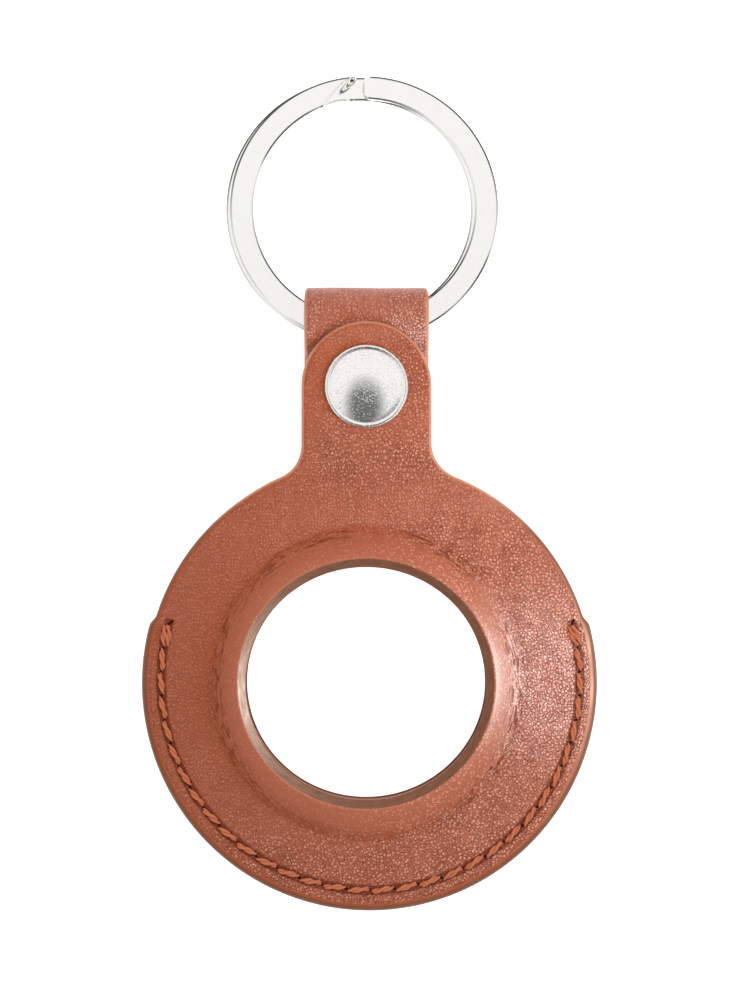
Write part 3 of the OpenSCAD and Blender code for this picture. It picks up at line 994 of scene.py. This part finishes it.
def lining_piece(context, name, neck, every):
    """A lining, cut and shaped like its face leather. Every is 2 for each second row of the neck."""
    s = context.scene.holder_leather
    half_w, rows, end = neck(s)
    rows = rows[:-1][::every] + rows[-1:]
    obj = blank(s, name, lining_outline(s), LINING_STEPS, half_w, rows, end)
    flat = points_of(obj)
    store(obj, plan=flat)
    x, y, h = cut_by_hand(s, flat).T
    if neck is back_neck:
        set_points(obj, folded(x, y, h, mm(s.leather_t)))
    else:
        set_points(obj, np.stack([x, y, h + flap_lift(s, flat[:, 1])], 1))
    merge(obj)
    finished(obj)
    obj.data.materials.append(shared("lining_leather", lining_leather, s))
    return obj


class HOLDER_OT_front_leather(Operator):
    """Builds the front leather with its rim, ramp and tab, in one piece across the bend"""

    bl_idname = "holder.front_leather"
    bl_label = "Front leather"

    def execute(self, context):
        obj = leather_piece(context, "leather_front", FRONT_STEPS, front_neck)
        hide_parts("front_panel", "front_flap")
        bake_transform(obj)
        return {"FINISHED"}


class HOLDER_OT_front_lining(Operator):
    """Builds the lining of the front leather"""

    bl_idname = "holder.front_lining"
    bl_label = "Front lining"

    def execute(self, context):
        obj = lining_piece(context, "lining_front", front_neck, every=2)
        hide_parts("front_lining", "flap_lining")
        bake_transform(obj)
        return {"FINISHED"}


class HOLDER_OT_back_leather(Operator):
    """Builds the back leather with its strap, folded round the ring"""

    bl_idname = "holder.back_leather"
    bl_label = "Back leather"

    def execute(self, context):
        obj = leather_piece(context, "leather_back", BACK_STEPS, back_neck)
        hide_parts("back_panel")
        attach(obj, "holder")
        return {"FINISHED"}


class HOLDER_OT_back_lining(Operator):
    """Builds the lining of the back leather and its strap"""

    bl_idname = "holder.back_lining"
    bl_label = "Back lining"

    def execute(self, context):
        obj = lining_piece(context, "lining_back", back_neck, every=1)
        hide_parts("back_lining")
        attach(obj, "holder")
        return {"FINISHED"}


# Threads

STITCH_SHARES = (0.06, 0.16, 0.3, 0.42, 0.5, 0.58, 0.7, 0.84, 0.94)
HOLE_OUT = 0.315
DOUBLE_OUT = 0.27
IN_HOLE_Z = 0.3
END_SUNK, LOW_SUNK, BULGE_H = 0.15, 0.04, 0.16
END_ASIDE = 0.6
PLY_APART = 0.86
THREAD_STEP = 0.13

# Thickness of a stitch, as a share of its two plies: in a hole, beside it, and more in its middle.
IN_HOLE, BESIDE, MORE = 0.6, 0.75, 0.35


def stitch(p, q, top, aside):
    """One stitch from hole to hole as [x, y, z, thickness], bulging up and aside in its middle."""
    along = (q - p) / np.linalg.norm(q - p)
    across = np.array([-along[1], along[0]]) * aside
    out = [(*p, IN_HOLE_Z, IN_HOLE), (*(p + END_ASIDE * across), top - END_SUNK, BESIDE)]
    for share in STITCH_SHARES:
        bulge = math.sin(math.pi * share)
        at = p + (q - p) * share + across * (END_ASIDE + (1 - END_ASIDE) * bulge)
        height = top - LOW_SUNK + BULGE_H * bulge ** 0.5
        out.append((*at, height, BESIDE + MORE * bulge ** 0.8))
    out.append((*(q + END_ASIDE * across), top - END_SUNK, BESIDE))
    return out + [(*q, IN_HOLE_Z, IN_HOLE)]


def seam_paths(s, seam):
    """Centre lines of the thread: the seam itself, and its doubled first and last stitch."""
    places = seam_places(seam)
    main, doubled = [], []
    for i, ((a, x, y), (b, u, v)) in enumerate(zip(places, places[1:])):
        a, b = a + SLIT_LEAN, b + SLIT_LEAN
        p = np.array([x - HOLE_OUT * math.cos(a), y - HOLE_OUT * math.sin(a)])
        q = np.array([u + HOLE_OUT * math.cos(b), v + HOLE_OUT * math.sin(b)])
        ends = i in (0, seam.stitches - 1)
        main += stitch(p, q, mm(s.leather_t), DOUBLE_OUT if ends else 0)
        if ends:
            doubled.append(stitch(p, q, mm(s.leather_t), -DOUBLE_OUT))
    return [main, *doubled]


def resampled(path):
    """Points at even steps along a path, and how far along it each one is."""
    path = np.array(path)
    gaps = np.linalg.norm(np.diff(path[:, :3], axis=0), axis=1)
    at = np.concatenate([[0], np.cumsum(gaps)])
    marks = np.arange(0, at[-1], THREAD_STEP)
    return np.stack([np.interp(marks, at, path[:, k]) for k in range(path.shape[1])], 1), marks


def ply_curve(name, lines, radius):
    """Round strands along lines of [x, y, z, thickness] points, as one mesh."""
    obj = added(name, bpy.ops.curve.primitive_nurbs_path_add)
    curve = obj.data
    curve.splines.clear()
    curve.dimensions = "3D"
    curve.bevel_depth = radius
    curve.bevel_resolution = 3
    curve.use_fill_caps = True
    for line in lines:
        spline = curve.splines.new("POLY")
        spline.points.add(len(line) - 1)
        for point, (x, y, z, thick) in zip(spline.points, line):
            point.co = (x, y, z, 1)
            point.radius = thick
    only(obj)
    bpy.ops.object.convert(target="MESH")
    return bpy.context.active_object


def unit(vectors):
    return vectors / np.maximum(np.linalg.norm(vectors, axis=1, keepdims=True), 1e-9)


def twisted(path, radius, twist):
    """The two plies of a thread, wound round its path."""
    points, marks = resampled(path)
    tangent = unit(np.gradient(points[:, :3], axis=0))
    side = unit(np.cross(tangent, np.stack([points[:, 0], points[:, 1], 0 * marks], 1)))
    up = np.cross(side, tangent)
    out = []
    for start in (0, math.pi):
        a = (2 * math.pi * marks / twist + start)[:, None]
        reach = (radius * PLY_APART * points[:, 3])[:, None]
        place = points[:, :3] + reach * (side * np.cos(a) + up * np.sin(a))
        out.append(np.concatenate([place, points[:, 3:]], 1))
    return out


class HOLDER_OT_threads(Operator):
    """Builds the two threads of the lockstitch seam"""

    bl_idname = "holder.threads"
    bl_label = "Threads"

    def execute(self, context):
        s, seam = context.scene.holder_leather, context.scene.holder_seam
        radius, twist = mm(seam.ply_r), mm(seam.twist)
        plies = [ply for path in seam_paths(s, seam) for ply in twisted(path, radius, twist)]
        for name, node, side in (
            ("thread_top", "top_thread", 1),
            ("thread_bobbin", "bobbin_thread", -1),
        ):
            obj = ply_curve(name, [ply * (1, 1, side, 1) for ply in plies], radius)
            finished(obj, 60)
            obj.data.materials.append(shared("waxed_thread", waxed_thread, seam))
            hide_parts(node)
            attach(obj, "holder")
        return {"FINISHED"}


# Metal

SHEET_T = 0.3
DOME_FOOT, CROWN_SUNK = 0.42, 0.1
DOME_STEPS, TURN_STEPS = 26, 144
DOME_FLAT, HOLLOW_FLAT = 2.4, 0.8
CAP_Z = 4.6

# Roughness, depth of the pits in millimetres, and waves per metre of each finish.
SATIN = (0.16, 0.018, 5500.0)
PLATED = (0.28, 0.003, 6000.0)
SPRING = (0.35, 0.003, 9000.0)
POLISHED = (0.07, 0.0015, 1500.0)


def cap_outline(m):
    """Section of the cap: its rolled rim, its dome, and the dome's inner side."""
    bead_r, dome_r = mm(m.bead_w) / 2, mm(m.cap_r) - mm(m.bead_w)
    crown = mm(m.cap_h) - DOME_FOOT - CROWN_SUNK
    out = []
    for degrees in range(-90, 121, 15):
        a = math.radians(degrees)
        out.append((mm(m.cap_r) - bead_r + bead_r * math.cos(a), bead_r + bead_r * math.sin(a)))
    turns = [math.pi / 2 * i / DOME_STEPS for i in range(DOME_STEPS + 1)]
    for t in reversed(turns[:-1]):
        share = math.sin(t)
        out.append((dome_r * share, DOME_FOOT + crown * (1 - share ** DOME_FLAT)))
    for t in turns:
        height = (DOME_FOOT + crown - SHEET_T) * max(math.cos(t), 0) ** HOLLOW_FLAT
        out.append(((dome_r - SHEET_T) * math.sin(t), height))
    return out


class HOLDER_OT_snap(Operator):
    """Builds the domed cap of the snap and finishes its other parts"""

    bl_idname = "holder.snap"
    bl_label = "Snap"

    def execute(self, context):
        s, m = context.scene.holder_leather, context.scene.holder_metal
        obj = turned("cap_dome", cap_outline(m), TURN_STEPS)
        set_points(obj, points_of(obj) + (0, mm(s.snap_y), CAP_Z))
        finished(obj, 50)
        obj.data.materials.append(nickel("satin_nickel", m, *SATIN))
        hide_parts("snap_cap")
        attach(obj, "flap")
        inner, wire = nickel("snap_nickel", m, *PLATED), nickel("spring_steel", m, *SPRING)
        for node in ("cap_post", "snap_socket", "snap_stud", "stud_post", "socket_spring"):
            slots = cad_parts[node].data.materials
            slots.clear()
            slots.append(wire if node == "socket_spring" else inner)
        return {"FINISHED"}


# Turns of the wire in degrees. It dives to the lower layer first at its inner edge.
WIRE_START, WIRE_END = 90.7, -613.5
DIVE_STARTS, DIVE_END = (-246.7, -264.5), -269.1
DENSE_TURNS = (-240, -272)

WIRE_STEPS, WIRE_ROWS = 640, 8
BEVEL_H = 0.7
CORNER_R = 0.9
DIVE_ASIDE = 0.45
RING_X, RING_Y = -0.27, 0.38
RING_ARM = 12.475
RING_DROP, RING_SPAN = 4.0, 27.475


def flat_wire(m):
    """The wire laid out straight along X, with bevelled edges and rounded corners."""
    wire_w, wire_t = mm(m.wire_w), mm(m.wire_t)
    grid = bpy.ops.mesh.primitive_grid_add
    obj = added("ring_wire", grid, x_subdivisions=WIRE_STEPS, y_subdivisions=WIRE_ROWS, size=1)
    p = points_of(obj)
    turns = (WIRE_START, *DENSE_TURNS, WIRE_END)
    angle = np.interp(p[:, 0] + 0.5, (0, 0.4, 0.6, 1), turns)
    along = np.radians(WIRE_START - angle) * (mm(m.ring_r) - wire_w / 2)
    set_points(obj, np.stack([along, p[:, 1] * wire_w, p[:, 2]], 1))
    applied(obj, "SOLIDIFY", thickness=wire_t, offset=0)
    applied(
        obj, "BEVEL", width=mm(m.wire_bevel), segments=1, limit_method="ANGLE",
        angle_limit=math.radians(50),
    )
    p = points_of(obj)
    low = np.abs(p[:, 2]) < wire_t / 2 - 0.001
    p[low, 2] = np.sign(p[low, 2]) * (wire_t / 2 - BEVEL_H * mm(m.wire_bevel))
    short = CORNER_R - np.minimum(p[:, 0], p[:, 0].max() - p[:, 0])
    short = np.clip(short, 0, CORNER_R)
    p[:, 1] *= 1 - (CORNER_R - np.sqrt(CORNER_R ** 2 - short ** 2)) / (wire_w / 2)
    set_points(obj, p)
    return obj


def wound(m, p):
    """The straight wire wound into the ring, flat, with its layers over and under the plane."""
    wire_w, layer = mm(m.wire_w), mm(m.wire_t) + mm(m.layer_gap)
    middle = mm(m.ring_r) - wire_w / 2
    angle = WIRE_START - np.degrees(p[:, 0] / middle)
    dive = np.interp(p[:, 1] / wire_w, (-0.5, 0.5), DIVE_STARTS)
    sunk = ease((angle - dive) / (DIVE_END - dive))
    a, r = np.radians(angle), middle + p[:, 1]
    z = layer * (0.5 - sunk) + p[:, 2]
    return np.stack([r * np.cos(a) - DIVE_ASIDE * sunk, r * np.sin(a), z], 1)


def laid_down(m, p):
    """The flat ring tilted in the loop until its far side lies on the table."""
    x, y, z = p.T
    y = y + RING_ARM
    tilt = math.asin((RING_DROP - mm(m.wire_t) - mm(m.layer_gap) / 2) / RING_SPAN)
    lean, rise = math.cos(tilt), math.sin(tilt)
    out_y = y * lean + z * rise + PIVOT_Y + RING_Y
    return np.stack([x + RING_X, out_y, z * lean - y * rise], 1)


class HOLDER_OT_ring(Operator):
    """Winds the split ring from one flat wire"""

    bl_idname = "holder.ring"
    bl_label = "Split ring"

    def execute(self, context):
        m = context.scene.holder_metal
        obj = flat_wire(m)
        set_points(obj, laid_down(m, wound(m, points_of(obj))))
        merge(obj)
        finished(obj, 30)
        obj.data.materials.append(nickel("polished_nickel", m, *POLISHED))
        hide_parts("split_ring")
        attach(obj, "ring")
        return {"FINISHED"}


# Stage. Places and sizes are in metres.

FLOOR_SIZE, FLOOR_GAP = 6, 0.00003
KEY = {"place": (0.05, 0.03, 0.075), "target": (0, 0.01, 0), "size": (0.04, 0.05)}
SHEEN = {"place": (0.048, 0.002, 0.034), "target": (0.014, 0, 0), "size": (0.02, 0.04)}
CAMERA_PLACE = (0.00039, 0.02123, 0.6125)
LEFT_X, LEFT_Y = -0.906, -0.423
PATCH_X, PATCH_Y = 0.05, 0.48
PATCH_W, PATCH_H = 0.62, 0.81
DIFFUSE_SKY = (0.84, 0.84, 0.84)
GREY_WALL = (0.6, 0.6, 0.6)
WHITE = (1, 1, 1)


def area_light(name, power, place, target, size):
    lamp = added(name, bpy.ops.object.light_add, type="AREA", location=place)
    lamp.data.shape = "RECTANGLE"
    lamp.data.size, lamp.data.size_y = size
    lamp.data.energy = power
    lamp.rotation_euler = (Vector(place) - Vector(target)).to_track_quat("Z", "Y").to_euler()
    return lamp


def soft_world(world):
    """A white tent over a dark horizon, with a dark patch where the photographer stands."""
    world.use_nodes = True
    n = Nodes(world.node_tree)
    x, y, z = n.split(n.place("Generated"))
    right = n.minus(n.times(n.minus(x, y), 0.7), 0.7)
    height = n.minus(z, n.times(n.most(right, 0.0), 3.0))
    tent = n.ramp(height, [(0.0, 0.9), (0.02, 0.09), (0.22, 0.1), (0.32, 0.7), (0.5, 1.0)])
    left = n.plus(n.times(x, LEFT_X), n.times(y, LEFT_Y))
    tent = n.mix(n.ramp(left, [(0.86, 0.0), (0.93, 1.0)]), tent, GREY_WALL)
    across, along = n.over(n.plus(x, PATCH_X), PATCH_W), n.over(n.plus(y, PATCH_Y), PATCH_H)
    patch = n.ramp(n.distance(across, along), [(0.5, 0.15), (0.92, 1.0)])
    patch = n.mix(n.ramp(z, [(0.0, 1.0), (0.3, 0.0)]), patch, WHITE)
    sky = n.mix(1.0, tent, patch, "MULTIPLY")
    rays = n.add("ShaderNodeLightPath").outputs
    seen = n.mix(rays["Is Diffuse Ray"], sky, DIFFUSE_SKY)
    seen = n.mix(rays["Is Camera Ray"], seen, WHITE)
    back = n.add("ShaderNodeBackground", {"Color": seen, "Strength": 1.0})
    out = n.add("ShaderNodeOutputWorld")
    n.tree.links.new(back.outputs[0], out.inputs[0])


def floor_paper(g):
    """White paper that glows a little, so that it stays white beside the object."""
    made, n = material("floor")
    n.surface(
        Base_Color=(*g.floor, 1), Roughness=0.9, Emission_Color=(1, 1, 1, 1), Emission_Strength=0.8
    )
    return made


class HOLDER_OT_stage(Operator):
    """Sets the floor, the lights and the camera"""

    bl_idname = "holder.stage"
    bl_label = "Stage"

    def execute(self, context):
        g = context.scene.holder_stage
        under = (0, 0, cad_low.z - FLOOR_GAP)
        floor = added("floor", bpy.ops.mesh.primitive_plane_add, size=FLOOR_SIZE, location=under)
        floor.data.materials.append(floor_paper(g))
        context.scene.world = bpy.data.worlds.new("tent")
        soft_world(context.scene.world)
        key = area_light("key", g.key_power, **KEY)
        key.visible_glossy = False
        sheen = area_light("sheen", g.sheen_power, **SHEEN)
        sheen.visible_diffuse = False
        leather = bpy.data.collections.new("leather_only")
        for name in ("leather_front", "leather_back"):
            leather.objects.link(context.scene.objects[name])
        sheen.light_linking.receiver_collection = leather
        camera = added("Camera", bpy.ops.object.camera_add, location=CAMERA_PLACE)
        camera.rotation_euler = (0, 0, 0)
        camera.data.lens = g.lens
        camera.data.clip_start, camera.data.clip_end = 0.01, 20
        context.scene.camera = camera
        context.scene.view_settings.view_transform = "Standard"
        return {"FINISHED"}


class HOLDER_PT_panel(Panel):
    """Lists the holder's pieces in the sidebar"""

    bl_idname = "HOLDER_PT_panel"
    bl_label = "Leather tracker holder"
    bl_space_type = "VIEW_3D"
    bl_region_type = "UI"
    bl_category = "Holder"

    def draw(self, context):
        for operator in OPERATORS:
            self.layout.operator(operator.bl_idname)


OPERATORS = (
    HOLDER_OT_front_leather,
    HOLDER_OT_front_lining,
    HOLDER_OT_back_leather,
    HOLDER_OT_back_lining,
    HOLDER_OT_threads,
    HOLDER_OT_snap,
    HOLDER_OT_ring,
    HOLDER_OT_stage,
)
GROUPS = {
    "holder_leather": HOLDER_PG_leather,
    "holder_seam": HOLDER_PG_seam,
    "holder_metal": HOLDER_PG_metal,
    "holder_stage": HOLDER_PG_stage,
}


def register():
    for item in (*GROUPS.values(), *OPERATORS, HOLDER_PT_panel):
        bpy.utils.register_class(item)
    for name, group in GROUPS.items():
        setattr(bpy.types.Scene, name, PointerProperty(type=group))


def unregister():
    for name in GROUPS:
        delattr(bpy.types.Scene, name)
    for item in (HOLDER_PT_panel, *reversed(OPERATORS), *reversed(GROUPS.values())):
        bpy.utils.unregister_class(item)


def main():
    register()
    for operator in OPERATORS:
        group, name = operator.bl_idname.split(".")
        getattr(getattr(bpy.ops, group), name)()
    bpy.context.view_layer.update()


if __name__ == "__main__":
    main()
